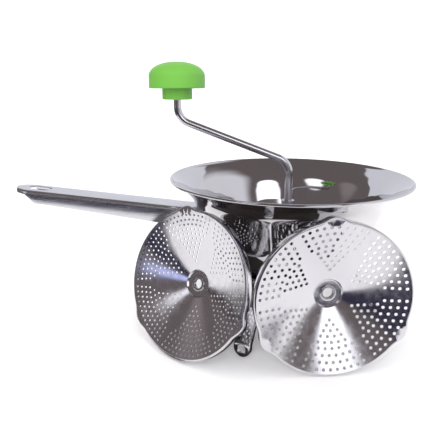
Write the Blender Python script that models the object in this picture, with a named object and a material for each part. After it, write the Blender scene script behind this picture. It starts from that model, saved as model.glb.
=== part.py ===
"""Rotary food mill: a flared steel bowl on three legs, with a handle, a crank and three perforated discs.

Metres, +Z up. The mill's crank axis is vertical, the handle points to -X, and the origin is on the floor
under the middle of the whole set's bounding box. Two of the discs are spares that lean against the bowl.
"""
import math

import bmesh
import bpy
from mathutils import Matrix, Vector
from mathutils.geometry import delaunay_2d_cdt

# ---------------------------------------------------------------- driving dimensions, in metres
RIM_RADIUS = 0.120
RIM_HEIGHT = 0.152
BOWL_DEPTH = 0.094
SHEET = 0.0009
GAP = 0.0003
BEAD_RADIUS = 0.0013

# Outer radius of the bowl at each depth below the rim.
BOWL_PROFILE = (
    (0.0026, 0.1172), (0.006, 0.1125), (0.012, 0.1050), (0.019, 0.0985), (0.030, 0.0936),
    (0.045, 0.0888), (0.060, 0.0842), (0.072, 0.0785), (0.080, 0.0728), (0.084, 0.0708),
)
COLLAR_RADIUS = 0.0703
COLLAR_TOP_DEPTH = 0.087
LEDGE_INNER_RADIUS = 0.0635

DISC_RADIUS = 0.0685
DISC_LOBE = 0.0035
LOBE_HALF_ANGLE = math.radians(12.5)
DISC_WALL = 0.007
DISC_SHEET = 0.0008
FOLD_RADIUS = 0.0020
FOLD_CHAMFER = 0.0012
CONE_INNER_RADIUS = 0.0132
CONE_HEIGHT = 0.0180
HUB_STEP = 0.0016
HUB_HOLE_RADIUS = 0.0053
BUSH_BORE_RADIUS = 0.00435
BUSH_HEAD_RADIUS = 0.0066
BUSH_FLANGE_RADIUS = 0.0072
BUSH_HEAD = 0.0007
BUSH_FLANGE = 0.0010
COARSE_HOLE_RADIUS = 0.00225
COARSE_HOLE_SIDES = 5
COARSE_PITCH = 0.0080
# Radius of each ring of holes in the coarse disc, with its holes in each of the six sectors.
COARSE_RINGS = ((0.024, 1), (0.031, 2), (0.038, 3), (0.0452, 5), (0.0524, 6), (0.0596, 7))

ROD_RADIUS = 0.00375
CRANK_THROW = 0.111
ARM_LOW = 0.014
ARM_HIGH = 0.0564
BEND_RADIUS = 0.017
KNOB_BOTTOM = 0.075
KNOB_SHOULDER = 0.0853
KNOB_SIDE = 0.0113
KNOB_TOP = 0.110
KNOB_RADIUS = 0.027
NECK_RADIUS = 0.0145
SPIGOT_RADIUS = 0.0085
SPIGOT_LENGTH = 0.010
ROD_ABOVE_SPIGOT = 0.004
SOCKET_ABOVE_SPIGOT = 0.0055
PUSH_NUT_RADIUS = 0.0070

HANDLE_REACH = 0.275
HANDLE_WIDTH = 0.032
HANDLE_ROOT_DROP = 0.030
HANDLE_TIP_DROP = 0.010
HANDLE_ROOT_RADIUS = 0.098
HANDLE_SHEET = 0.0011
HANDLE_SHOULDER = 0.004
HANDLE_TIP_DEPTH = 0.0028
HANDLE_NEAR_TIP_DEPTH = 0.0125
HANDLE_ROOT_DEPTH = 0.0190
CAVITY_START = 0.030
SLOT_START = 0.012
SLOT_LENGTH = 0.022
SLOT_WIDTH = 0.013
BRACKET_DEPTHS = (0.035, 0.038, 0.041, 0.044, 0.047)
BRACKET_SHEET = 0.0012

LEG_ANGLES = (0.0, 120.0, 240.0)
LEG_WIDTH = 0.017
LEG_FOOT_RADIUS = 0.101
LEG_FLANGE = 0.0055
LEG_TAB_FLANGE = 0.0026
LEG_SHEET = 0.0010
LEG_SHOULDER = 0.0018
LEG_BEND = 0.010
LEG_BEND_HEIGHT = 0.0125
TOE_ANGLE = math.radians(70)
TOE_HOLE_RADIUS = 0.0042
TOE_HOLE_HEIGHT = 0.0078
TOE_HOLE_FLAT = 0.0038

BLADE_LOW_ANGLE = math.radians(280)
BLADE_SWEEP = math.radians(-98)
BLADE_REACH = 0.0640
BLADE_TIP_REACH = 0.0190
BLADE_TOP = RIM_HEIGHT - 0.025
BLADE_SHEET = 0.0012
BLADE_CLEARANCE = 0.0009
BLADE_FOOT_LIFT = 0.0016
SLEEVE_RADIUS = 0.0066
SLEEVE_LIFT = 0.0008
WELD_GAP = 0.0006

ROD_BOTTOM = 0.0215
SCRAPER_HUB_RADIUS = 0.0085
SCRAPER_HUB_HEIGHT = 0.0100
SCRAPER_START = 0.0091
SCRAPER_REACH = 0.0600
SCRAPER_ANGLE = math.radians(80)
SCRAPER_CLEARANCE = 0.0011
SCRAPER_SHEET = 0.0012
SCRAPER_TILT = 0.0012
SPRING_LOW = 0.0405
SPRING_WIRE = 0.00075
SPRING_COIL = 0.0064
SPRING_TURNS = 5
WASHER_RADIUS = 0.0090
WASHER_SHEET = 0.0012
NUT_RADIUS = 0.0070
NUT_HEIGHT = 0.0085
WING_HALF_SHEET = 0.0009

# The spare discs reach farther in front of the crank axis than the rim reaches behind it.
DISC_FRONT_REACH = 0.12491
AXIS_X = (HANDLE_REACH - RIM_RADIUS) / 2
AXIS_Y = (DISC_FRONT_REACH - RIM_RADIUS) / 2

DISC_FLOOR = RIM_HEIGHT - BOWL_DEPTH + SHEET + GAP
HUB_UNDERSIDE = DISC_FLOOR + CONE_HEIGHT + HUB_STEP
BUSH_TOP = HUB_UNDERSIDE + DISC_SHEET + GAP + BUSH_HEAD
SCRAPER_HUB_TOP = HUB_UNDERSIDE - GAP - BUSH_FLANGE - WELD_GAP
SCRAPER_HUB_LOW = SCRAPER_HUB_TOP - SCRAPER_HUB_HEIGHT
SPRING_TOP = SCRAPER_HUB_LOW - GAP
WASHER_TOP = SPRING_LOW - GAP
WASHER_LOW = WASHER_TOP - WASHER_SHEET
NUT_TOP = WASHER_LOW - GAP

# Spare discs: centre of the fold circle in the mill's own frame, turn, lean and roll in degrees.
SPARE_DISCS = {
    "medium": (0.0250, -0.1150, 5.5, 3.5, 2.0),
    "fine": (-0.1018, -0.0768, -39.9, 17.0, 13.6),
}

# ---------------------------------------------------------------- materials
STEEL_POLISHED = ("polished_steel", (0.72, 0.71, 0.72), 0.12, 1.0)
STEEL_SATIN = ("satin_steel", (0.66, 0.66, 0.68), 0.32, 1.0)
STEEL_SPRING = ("spring_steel", (0.45, 0.45, 0.47), 0.30, 1.0)
GREEN_PLASTIC = ("green_plastic", (0.19, 0.56, 0.07), 0.38, 0.0)


SMOOTH_ANGLE = math.radians(35)


def material(spec):
    """Return the named Principled material, made once."""
    name, colour, roughness, metallic = spec
    found = bpy.data.materials.get(name)
    if found:
        return found
    made = bpy.data.materials.new(name)
    made.use_nodes = True
    shader = made.node_tree.nodes["Principled BSDF"]
    shader.inputs["Base Color"].default_value = (*colour, 1.0)
    shader.inputs["Roughness"].default_value = roughness
    shader.inputs["Metallic"].default_value = metallic
    made.diffuse_color = (*colour, 1.0)
    return made


# ---------------------------------------------------------------- helpers
def clear_scene():
    for item in list(bpy.data.objects):
        bpy.data.objects.remove(item, do_unlink=True)


def make_empty(name, location, parent=None):
    empty = bpy.data.objects.new(name, None)
    empty.location = location
    empty.parent = parent
    bpy.context.scene.collection.objects.link(empty)
    return empty


def make_object(name, mesh, spec, parent):
    """Link a mesh as a named object with its own material, shaded smooth below an edge angle."""
    mesh.shade_smooth()
    mesh.set_sharp_from_angle(angle=SMOOTH_ANGLE)
    mesh.materials.clear()
    mesh.materials.append(material(spec))
    item = bpy.data.objects.new(name, mesh)
    item.parent = parent
    bpy.context.scene.collection.objects.link(item)
    return item


def mesh_from(name, vertices, faces):
    """Build a mesh and turn its faces outwards."""
    mesh = bpy.data.meshes.new(name)
    mesh.from_pydata([tuple(v) for v in vertices], [], faces)
    work = bmesh.new()
    work.from_mesh(mesh)
    bmesh.ops.remove_doubles(work, verts=work.verts, dist=1e-6)
    bmesh.ops.recalc_face_normals(work, faces=work.faces)
    work.to_mesh(mesh)
    work.free()
    return mesh


def loft(rings, close_path=False, cap_ends=False):
    """Join rings of equal length with quads; the rings close into a loop or get end caps."""
    size = len(rings[0])
    vertices = [point for ring in rings for point in ring]
    faces = []
    spans = len(rings) if close_path else len(rings) - 1
    for row in range(spans):
        low = row * size
        high = (row + 1) % len(rings) * size
        for col in range(size):
            after = (col + 1) % size
            faces.append((low + col, low + after, high + after, high + col))
    if cap_ends:
        faces.append(tuple(range(size)))
        faces.append(tuple(range((len(rings) - 1) * size, len(rings) * size)))
    return vertices, faces


def turned(name, profile, steps=32):
    """A closed (radius, height) outline turned about Z."""
    angles = [2 * math.pi * k / steps for k in range(steps)]
    rings = [[(r * math.cos(a), r * math.sin(a), z) for a in angles] for r, z in profile]
    return mesh_from(name, *loft(rings, close_path=True))


def turned_solid(name, profile, steps=32):
    """An open (radius, height) outline turned about Z, with a flat cap over each of its ends."""
    angles = [2 * math.pi * k / steps for k in range(steps)]
    rings = [[(r * math.cos(a), r * math.sin(a), z) for a in angles] for r, z in profile]
    return mesh_from(name, *loft(rings, cap_ends=True))


def arc(centre, radius, start, end, steps):
    """Points on an arc, with angles in degrees."""
    points = []
    for k in range(steps + 1):
        a = math.radians(start + (end - start) * k / steps)
        points.append((centre[0] + radius * math.cos(a), centre[1] + radius * math.sin(a)))
    return points


def blend(a, b, t):
    """From a to b as t goes from 0 to 1."""
    return a + (b - a) * min(1.0, max(0.0, t))


def interpolate(table, x):
    """Smooth curve through (x, y) pairs, with the mean slope of the neighbours at each point."""
    if x <= table[0][0]:
        return table[0][1]
    if x >= table[-1][0]:
        return table[-1][1]
    last = len(table) - 1
    slopes = []
    for k in range(len(table)):
        before = table[max(k - 1, 0)]
        after = table[min(k + 1, last)]
        slopes.append((after[1] - before[1]) / (after[0] - before[0]))
    k = max(i for i in range(last) if table[i][0] <= x)
    x0, y0 = table[k]
    x1, y1 = table[k + 1]
    span = x1 - x0
    t = (x - x0) / span
    rise = (2 * t ** 3 - 3 * t ** 2 + 1) * y0 + (3 * t ** 2 - 2 * t ** 3) * y1
    bend = (t ** 3 - 2 * t ** 2 + t) * slopes[k] + (t ** 3 - t ** 2) * slopes[k + 1]
    return rise + bend * span


def filleted(points, radii, steps=6):
    """A path through points in a plane, with its inner corners rounded to the given radii."""
    path = [Vector(points[0])]
    for k in range(1, len(points) - 1):
        corner = Vector(points[k])
        back = (Vector(points[k - 1]) - corner).normalized()
        ahead = (Vector(points[k + 1]) - corner).normalized()
        half = back.angle(ahead) / 2
        reach = radii[k - 1] / math.tan(half)
        centre = corner + (back + ahead).normalized() * (radii[k - 1] / math.sin(half))
        first = corner + back * reach - centre
        turn = first.angle(corner + ahead * reach - centre)
        axis = back.cross(ahead).normalized()
        for step in range(steps + 1):
            swing = Matrix.Rotation(-turn * step / steps, 3, axis)
            path.append(centre + swing @ first)
    path.append(Vector(points[-1]))
    return path


def combine(item, others, operation):
    """Cut the other objects out of an object, or join them to it, for good, and remove them."""
    for other in others:
        change = item.modifiers.new("combine", 'BOOLEAN')
        change.object = other
        change.operation = operation
        change.solver = 'EXACT'
    bpy.context.view_layer.update()
    graph = bpy.context.evaluated_depsgraph_get()
    mesh = bpy.data.meshes.new_from_object(item.evaluated_get(graph))
    item.modifiers.clear()
    item.data = mesh
    for other in others:
        bpy.data.objects.remove(other, do_unlink=True)
    mesh.shade_smooth()
    mesh.set_sharp_from_angle(angle=SMOOTH_ANGLE)
    return item


# ---------------------------------------------------------------- lobed rings
def lobe_angles(phase):
    """Angles round a ring: close together across each of the three lobes, wider between them."""
    angles = []
    gap_steps = 8
    lobe_steps = 6
    span = 2 * math.pi / 3 - 2 * LOBE_HALF_ANGLE
    for third in range(3):
        centre = phase + third * 2 * math.pi / 3
        for k in range(lobe_steps):
            angles.append(centre - LOBE_HALF_ANGLE + 2 * LOBE_HALF_ANGLE * k / lobe_steps)
        for k in range(gap_steps):
            angles.append(centre + LOBE_HALF_ANGLE + span * k / gap_steps)
    return angles


def lobe_height(angle, phase):
    """How far the lobe stands out at an angle, from 0 to 1."""
    third = 2 * math.pi / 3
    offset = (angle - phase + third / 2) % third - third / 2
    if abs(offset) >= LOBE_HALF_ANGLE:
        return 0.0
    return math.cos(offset / LOBE_HALF_ANGLE * math.pi / 2) ** 2


def lobed_rings(profile, phase, extra=()):
    """Rings for (radius, height, share of the lobe) triples, with a point at each extra angle too."""
    angles = sorted([a % (2 * math.pi) for a in lobe_angles(phase)] + list(extra))
    rings = []
    for radius, height, share in profile:
        ring = []
        for a in angles:
            r = radius + share * DISC_LOBE * lobe_height(a, phase)
            ring.append((r * math.cos(a), r * math.sin(a), height))
        rings.append(ring)
    return rings


# ---------------------------------------------------------------- bowl
def bowl_radius(depth):
    if depth >= COLLAR_TOP_DEPTH:
        return COLLAR_RADIUS
    return interpolate(BOWL_PROFILE + ((COLLAR_TOP_DEPTH, COLLAR_RADIUS),), depth)


def make_bowl(parent):
    """The flared bowl, its rolled rim, the lobed collar and the ledge that carries the disc."""
    floor = RIM_HEIGHT - BOWL_DEPTH
    depths = [depth for depth, radius in BOWL_PROFILE[:-1]] + [COLLAR_TOP_DEPTH]
    corner = 0.0008
    outer = []
    inner = []
    for depth in depths:
        share = min(1.0, max(0.0, (depth - 0.070) / 0.014))
        outer.append((bowl_radius(depth), RIM_HEIGHT - depth, share))
        inner.append((bowl_radius(depth) - SHEET, RIM_HEIGHT - depth + SHEET * 0.35, share))
    bead = arc((RIM_RADIUS - BEAD_RADIUS, RIM_HEIGHT - BEAD_RADIUS), BEAD_RADIUS, 150, -75, 6)
    profile = [(r, z, 0.0) for r, z in bead]
    profile += outer
    profile += [
        (COLLAR_RADIUS, floor + corner, 1.0),
        (COLLAR_RADIUS - corner, floor, 1.0),
        (LEDGE_INNER_RADIUS, floor, 0.0),
        (LEDGE_INNER_RADIUS, floor + SHEET, 0.0),
        (COLLAR_RADIUS - SHEET, floor + SHEET, 1.0),
    ]
    profile += inner[::-1]
    rings = lobed_rings(profile, math.pi, (math.pi / 2, 3 * math.pi / 2))
    make_object("bowl", mesh_from("bowl", *loft(rings, close_path=True)), STEEL_POLISHED, parent)


# ---------------------------------------------------------------- handle and legs
def channel_section(origin, across, inwards, half_width, top, depth, shoulder):
    """A solid bar's section: rounded shoulders on the outside face and square edges inwards."""
    corner = min(shoulder, 0.8 * half_width)
    flat = [(-half_width, depth)]
    flat += [(x, y + corner) for x, y in arc((corner - half_width, top), corner, 180, 270, 2)]
    flat += [(x, y + corner) for x, y in arc((half_width - corner, top), corner, 270, 360, 2)]
    flat += [(half_width, depth)]
    return [origin + across * x + inwards * y for x, y in flat]


def handle_stations(wall):
    """Stations of the handle from the bowl to its round tip; wall shrinks them for the cavity."""
    half = HANDLE_WIDTH / 2 - wall
    root = -HANDLE_ROOT_RADIUS
    tip = -HANDLE_REACH + wall
    last_angle = math.radians(72)
    centre = tip + half * math.sin(last_angle)
    steps = 5
    rows = [(root + (CAVITY_START if wall else 0.0), half)]
    rows += [(blend(root, centre, k / steps), half) for k in range(1, steps + 1)]
    for k in range(1, steps + 1):
        a = last_angle * k / steps
        rows.append((centre - half * math.sin(a), half * math.cos(a)))
    stations = []
    for x, half_width in rows:
        along = (root - x) / (HANDLE_REACH - HANDLE_ROOT_RADIUS)
        height = RIM_HEIGHT - blend(HANDLE_ROOT_DROP, HANDLE_TIP_DROP, along)
        from_tip = x + HANDLE_REACH
        body_depth = blend(HANDLE_NEAR_TIP_DEPTH, HANDLE_ROOT_DEPTH, (from_tip - 0.03) / 0.13)
        depth = blend(HANDLE_TIP_DEPTH, body_depth, (from_tip - 0.011) / 0.009)
        stations.append((x, half_width, height, depth))
    return stations


def handle_bar(wall):
    """The handle as a solid bar, or with a wall thickness the cavity to take out of it."""
    across = Vector((0, 1, 0))
    inwards = Vector((0, 0, -1))
    rings = []
    for x, half_width, height, depth in handle_stations(wall):
        reach = depth + (0.010 if wall else 0.0)
        origin = Vector((x, 0, height))
        rings.append(channel_section(origin, across, inwards, half_width, wall, reach, HANDLE_SHOULDER))
    if not wall:
        rings[0] = [fit_to_bowl(point) for point in rings[0]]
    return mesh_from("handle_bar", *loft(rings, cap_ends=True))


def fit_to_bowl(point):
    """Move a point of the handle's root along X until it almost meets the bowl."""
    radius = bowl_radius(RIM_HEIGHT - point.z) + 2 * GAP
    return Vector((-math.sqrt(radius ** 2 - point.y ** 2), point.y, point.z))


def slot_cutter():
    """A prism with round ends for the hanging slot."""
    half = SLOT_WIDTH / 2
    near = -HANDLE_REACH + SLOT_START + half
    far = -HANDLE_REACH + SLOT_START + SLOT_LENGTH - half
    flat = arc((far, 0), half, -90, 90, 8) + arc((near, 0), half, 90, 270, 8)
    rings = [[Vector((x, y, z)) for x, y in flat] for z in (RIM_HEIGHT - 0.030, RIM_HEIGHT + 0.010)]
    return mesh_from("slot_cutter", *loft(rings, cap_ends=True))


def make_handle(parent):
    """The pressed handle, hollow underneath, with its hanging slot."""
    item = make_object("handle", handle_bar(0.0), STEEL_SATIN, parent)
    cavity = make_object("handle_cavity", handle_bar(HANDLE_SHEET), STEEL_SATIN, parent)
    slot = make_object("handle_slot", slot_cutter(), STEEL_SATIN, parent)
    combine(item, [cavity, slot], 'DIFFERENCE')


def make_handle_bracket(parent):
    """The saddle plate that backs the handle's root against the bowl, inside the channel."""
    half = HANDLE_WIDTH / 2 - 0.0035
    rings = []
    for depth in BRACKET_DEPTHS:
        line = []
        for k in range(7):
            y = half * (k / 3 - 1)
            radius = bowl_radius(depth) + 2 * GAP
            line.append(Vector((-math.sqrt(radius ** 2 - y ** 2), y, RIM_HEIGHT - depth)))
        rings.append(line + [point - Vector((BRACKET_SHEET, 0, 0)) for point in line[::-1]])
    mesh = mesh_from("handle_bracket", *loft(rings, cap_ends=True))
    make_object("handle_bracket", mesh, STEEL_SATIN, parent)


def leg_path():
    """The leg's outer line in its own vertical plane: tab on the collar, flare, upright foot."""
    tab = COLLAR_RADIUS + GAP + LEG_TAB_FLANGE
    points = [
        (tab, 0, RIM_HEIGHT - COLLAR_TOP_DEPTH + 0.001),
        (tab, 0, RIM_HEIGHT - BOWL_DEPTH - 0.002),
        (LEG_FOOT_RADIUS, 0, LEG_BEND_HEIGHT),
        (LEG_FOOT_RADIUS, 0, 0.0),
    ]
    return filleted(points, (LEG_BEND, LEG_BEND), 4)


def leg_bar(wall):
    """A leg as a bar that follows its path and ends in a round toe with a flat underside."""
    path = leg_path()
    across = Vector((0, 1, 0))
    half = LEG_WIDTH / 2 - wall
    extra = 0.002 if wall else 0.0
    rings = []
    for k, point in enumerate(path[:-1]):
        before = path[max(k - 1, 0)]
        along = (path[k + 1] - before).normalized()
        drop = RIM_HEIGHT - BOWL_DEPTH - point.z
        depth = blend(LEG_TAB_FLANGE, LEG_FLANGE, drop / 0.012) + extra
        start = point - along * (0.004 if wall and k == 0 else 0.0)
        rings.append(channel_section(start, across, across.cross(along), half, wall, depth, LEG_SHOULDER))
    toe = Vector((LEG_FOOT_RADIUS, 0, wall + half * math.sin(TOE_ANGLE)))
    inwards = Vector((-1, 0, 0))
    depth = LEG_FLANGE + extra
    toe_steps = 5
    for k in range(toe_steps + 1):
        a = TOE_ANGLE * k / toe_steps
        centre = toe - Vector((0, 0, half * math.sin(a)))
        rings.append(channel_section(centre, across, inwards, half * math.cos(a), wall, depth, LEG_SHOULDER))
    return mesh_from("leg_bar", *loft(rings, cap_ends=True))


def toe_hole_cutter():
    """A D-shaped prism through the toe of a leg."""
    half = TOE_HOLE_RADIUS
    corner = 0.0010
    flat = arc((0, TOE_HOLE_HEIGHT), half, 0, 180, 6)
    flat += [(-half, TOE_HOLE_FLAT + 1.2 * corner), (corner - half, TOE_HOLE_FLAT)]
    flat += [(half - corner, TOE_HOLE_FLAT), (half, TOE_HOLE_FLAT + 1.2 * corner)]
    span = (LEG_FOOT_RADIUS - 0.012, LEG_FOOT_RADIUS + 0.006)
    rings = [[Vector((x, y, z)) for y, z in flat] for x in span]
    return mesh_from("toe_hole", *loft(rings, cap_ends=True))


def make_legs(parent):
    """Three stamped legs that share one mesh."""
    base = make_object("leg_pattern", leg_bar(0.0), STEEL_POLISHED, parent)
    cavity = make_object("leg_cavity", leg_bar(LEG_SHEET), STEEL_POLISHED, parent)
    hole = make_object("leg_hole", toe_hole_cutter(), STEEL_POLISHED, parent)
    mesh = combine(base, [cavity, hole], 'DIFFERENCE').data
    bpy.data.objects.remove(base, do_unlink=True)
    for name, angle in zip(("leg_right", "leg_back", "leg_front"), LEG_ANGLES):
        leg = make_object(name, mesh, STEEL_POLISHED, parent)
        leg.rotation_euler = (0, 0, math.radians(angle))


# ---------------------------------------------------------------- perforated discs
def cone_height(radius):
    """Height of the disc's underside above its fold circle."""
    run = DISC_RADIUS - FOLD_RADIUS - CONE_INNER_RADIUS
    return CONE_HEIGHT * (DISC_RADIUS - FOLD_RADIUS - radius) / run


def hole_centres(rings, pitch):
    """Centres of the holes: six wedges that widen outwards until the rings of holes are full."""
    centres = []
    for radius, count in rings:
        step = min(pitch / radius, math.pi / 3 / count)
        for sector in range(6):
            middle = math.pi / 2 + sector * math.pi / 3
            for k in range(count):
                a = middle + (k - (count - 1) / 2) * step
                centres.append((radius * math.cos(a), radius * math.sin(a)))
    return centres


def perforated_zone(outer, inner, centres):
    """Triangulate a flat ring with holes: returns points, triangles and each hole's point numbers."""
    hole_radius = COARSE_HOLE_RADIUS
    sides = COARSE_HOLE_SIDES
    points = [Vector((p[0], p[1])) for p in outer] + [Vector((p[0], p[1])) for p in inner]
    size = len(outer)
    edges = [(k, (k + 1) % size) for k in range(size)]
    edges += [(size + k, size + (k + 1) % size) for k in range(size)]
    loops = []
    for cx, cy in centres:
        first = len(points)
        turn = math.atan2(cy, cx)
        for k in range(sides):
            a = turn + 2 * math.pi * k / sides
            points.append(Vector((cx + hole_radius * math.cos(a), cy + hole_radius * math.sin(a))))
        loops.append(list(range(first, first + sides)))
        edges += [(first + k, first + (k + 1) % sides) for k in range(sides)]
    found = delaunay_2d_cdt(points, edges, [], 0, 1e-7)
    triangles = []
    for face in found[2]:
        middle = sum((found[0][k] for k in face), Vector((0, 0))) / 3
        if inside(middle, points[size:2 * size]) or not inside(middle, points[:size]):
            continue
        clear = (0.6 * hole_radius) ** 2
        if all((middle.x - cx) ** 2 + (middle.y - cy) ** 2 >= clear for cx, cy in centres):
            triangles.append(tuple(face))
    return points, triangles, loops


def inside(point, outline):
    """True where the point lies inside a closed outline."""
    crossings = 0
    for k, a in enumerate(outline):
        b = outline[(k + 1) % len(outline)]
        if (a.y > point.y) != (b.y > point.y):
            at = a.x + (point.y - a.y) / (b.y - a.y) * (b.x - a.x)
            crossings += at > point.x
    return crossings % 2 == 1


# Row of disc_profile where the cone's underside meets the hub; the row before it is its outer edge.
CONE_LOW_ROW = 8


def disc_profile():
    """Closed section of a disc, from the cone's top edge at the hub to its underside there."""
    edge = DISC_RADIUS
    top_out = edge - FOLD_RADIUS
    sheet = DISC_SHEET
    hub = CONE_HEIGHT + HUB_STEP
    step_radius = CONE_INNER_RADIUS - 0.0009
    return [
        (CONE_INNER_RADIUS, CONE_HEIGHT + sheet, 0.0),
        (top_out, sheet, 1.0),
        (edge - sheet, sheet + FOLD_CHAMFER, 1.0),
        (edge - sheet, DISC_WALL, 1.0),
        (edge, DISC_WALL, 1.0),
        (edge, FOLD_CHAMFER, 1.0),
        (edge - 0.0010, 0.0001, 1.0),
        (top_out, 0.0, 1.0),
        (CONE_INNER_RADIUS, CONE_HEIGHT, 0.0),
        (step_radius, hub - 0.0002, 0.0),
        (step_radius - 0.0012, hub, 0.0),
        (HUB_HOLE_RADIUS, hub, 0.0),
        (HUB_HOLE_RADIUS, hub + sheet, 0.0),
        (step_radius - 0.0004, hub + sheet, 0.0),
    ]


def disc_mesh(name, centres=()):
    """A coned disc with an upstanding wall on its apex side, perforated where centres are given."""
    phase = math.pi / 2
    rings = lobed_rings(disc_profile(), phase)
    size = len(rings[0])
    vertices, faces = loft(rings, close_path=True)
    if not centres:
        return mesh_from(name, vertices, faces)
    cone_zones = ({0, 1}, {CONE_LOW_ROW - 1, CONE_LOW_ROW})
    kept = [face for face in faces if {f // size for f in face} not in cone_zones]
    points, triangles, loops = perforated_zone(rings[1], rings[0], centres)
    tops = {}
    lows = {}
    for k, point in enumerate(points):
        ring = 1 if k < size else 0
        if k < 2 * size:
            tops[k] = ring * size + k % size
            lows[k] = (CONE_LOW_ROW - ring) * size + k % size
            continue
        height = cone_height(point.length)
        tops[k] = len(vertices)
        vertices.append((point.x, point.y, height + DISC_SHEET))
        lows[k] = len(vertices)
        vertices.append((point.x, point.y, height))
    for triangle in triangles:
        kept.append(tuple(tops[k] for k in triangle))
        kept.append(tuple(lows[k] for k in reversed(triangle)))
    for loop in loops:
        for k, this in enumerate(loop):
            after = loop[(k + 1) % len(loop)]
            kept.append((tops[this], tops[after], lows[after], lows[this]))
    return mesh_from(name, vertices, kept)


def bush_mesh():
    """The flanged eyelet that lines a disc's hub hole, in the disc's own frame."""
    hub = CONE_HEIGHT + HUB_STEP
    low = hub - GAP
    high = hub + DISC_SHEET + GAP
    shank = HUB_HOLE_RADIUS - GAP
    bottom = low - BUSH_FLANGE
    profile = [
        (BUSH_BORE_RADIUS, bottom), (BUSH_HEAD_RADIUS, bottom), (BUSH_FLANGE_RADIUS, low - 0.0006),
        (BUSH_FLANGE_RADIUS, low), (shank, low), (shank, high), (BUSH_HEAD_RADIUS, high),
        (BUSH_HEAD_RADIUS, high + BUSH_HEAD), (BUSH_BORE_RADIUS, high + BUSH_HEAD),
    ]
    return turned("hub_bush", profile, 20)


def spare_matrix(turn, lean, roll):
    """Rotation of a spare disc that shows its hollow side along its turn and lean."""
    turn = math.radians(turn)
    lean = math.radians(lean)
    level = Vector((math.sin(turn), -math.cos(turn), 0))
    up = Vector((0, 0, 1))
    facing = level * math.cos(lean) + up * math.sin(lean)
    rise = up * math.cos(lean) - level * math.sin(lean)
    right = rise.cross(facing)
    columns = Matrix((-right, rise, -facing)).transposed()
    return columns @ Matrix.Rotation(-math.radians(roll), 3, 'Z')


def make_discs(mill, spares):
    """The coarse disc in the collar and the two spares, each with its bush."""
    coarse = disc_mesh("disc_coarse", hole_centres(COARSE_RINGS, COARSE_PITCH))
    plain = disc_mesh("disc_plain")
    bush = bush_mesh()
    fitted = make_object("disc_coarse", coarse, STEEL_POLISHED, mill)
    fitted_bush = make_object("hub_bush_coarse", bush, STEEL_SATIN, mill)
    for item in (fitted, fitted_bush):
        item.location = (0, 0, DISC_FLOOR)
        item.rotation_euler = (0, 0, math.pi / 2)
    for name, (x, y, turn, lean, roll) in SPARE_DISCS.items():
        facing = spare_matrix(turn, lean, roll)
        lowest = min((facing @ vertex.co).z for vertex in plain.vertices)
        stand = spares[name]
        stand.location = (x, y, GAP - lowest)
        stand.rotation_euler = facing.to_euler()
        make_object("disc_" + name, plain, STEEL_POLISHED, stand)
        make_object("hub_bush_" + name, bush, STEEL_SATIN, stand)


# ---------------------------------------------------------------- crank, knob and blade
def tube(name, path, radius, sides=14):
    """A solid round rod along a path in the XZ plane."""
    rings = []
    side = Vector((0, 1, 0))
    for k, point in enumerate(path):
        along = (path[min(k + 1, len(path) - 1)] - path[max(k - 1, 0)]).normalized()
        out = side.cross(along)
        ring = []
        for step in range(sides):
            a = 2 * math.pi * step / sides
            ring.append(point + side * (radius * math.cos(a)) + out * (radius * math.sin(a)))
        rings.append(ring)
    return mesh_from(name, *loft(rings, cap_ends=True))


def make_crank_rod(parent):
    """The crank rod: upright through the disc, bent twice, upright again in the knob."""
    points = [
        (0, 0, ROD_BOTTOM),
        (0, 0, RIM_HEIGHT + ARM_LOW),
        (-CRANK_THROW, 0, RIM_HEIGHT + ARM_HIGH),
        (-CRANK_THROW, 0, RIM_HEIGHT + KNOB_SHOULDER + SPIGOT_LENGTH + ROD_ABOVE_SPIGOT),
    ]
    path = filleted(points, (BEND_RADIUS, BEND_RADIUS), 7)
    return make_object("crank_rod", tube("crank_rod", path, ROD_RADIUS), STEEL_SATIN, parent)


def make_knob(parent):
    """The knob's neck sleeve, its domed cap and the push nut that keeps both on the rod."""
    bore = ROD_RADIUS + GAP
    low = KNOB_BOTTOM
    seam = KNOB_SHOULDER
    spigot_top = seam + SPIGOT_LENGTH
    edge = 0.0010
    neck = [
        (bore, low), (NECK_RADIUS - edge, low), (NECK_RADIUS, low + edge), (NECK_RADIUS, seam - GAP),
        (SPIGOT_RADIUS, seam - GAP), (SPIGOT_RADIUS, spigot_top), (bore, spigot_top),
    ]
    dome_height = KNOB_TOP - seam - KNOB_SIDE
    dome_steps = 9
    dome = []
    for k in range(dome_steps):
        a = math.pi / 2 * k / dome_steps
        dome.append((KNOB_RADIUS * math.cos(a), seam + KNOB_SIDE + dome_height * math.sin(a)))
    socket = SPIGOT_RADIUS + GAP
    cap = [
        (socket, spigot_top + SOCKET_ABOVE_SPIGOT), (socket, seam),
        (KNOB_RADIUS - edge, seam), (KNOB_RADIUS, seam + edge),
    ]
    cap += dome
    cap.append((KNOB_RADIUS * 0.08, KNOB_TOP))
    nut = [
        (bore, spigot_top + GAP), (PUSH_NUT_RADIUS, spigot_top + GAP), (PUSH_NUT_RADIUS, spigot_top + 0.0010),
        (bore + 0.0005, spigot_top + 0.0024), (bore, spigot_top + 0.0024),
    ]
    make_object("knob_neck", turned("knob_neck", neck, 28), GREEN_PLASTIC, parent)
    make_object("knob_cap", turned_solid("knob_cap", cap, 32), GREEN_PLASTIC, parent)
    make_object("knob_push_nut", turned("knob_push_nut", nut, 20), STEEL_SPRING, parent)


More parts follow.
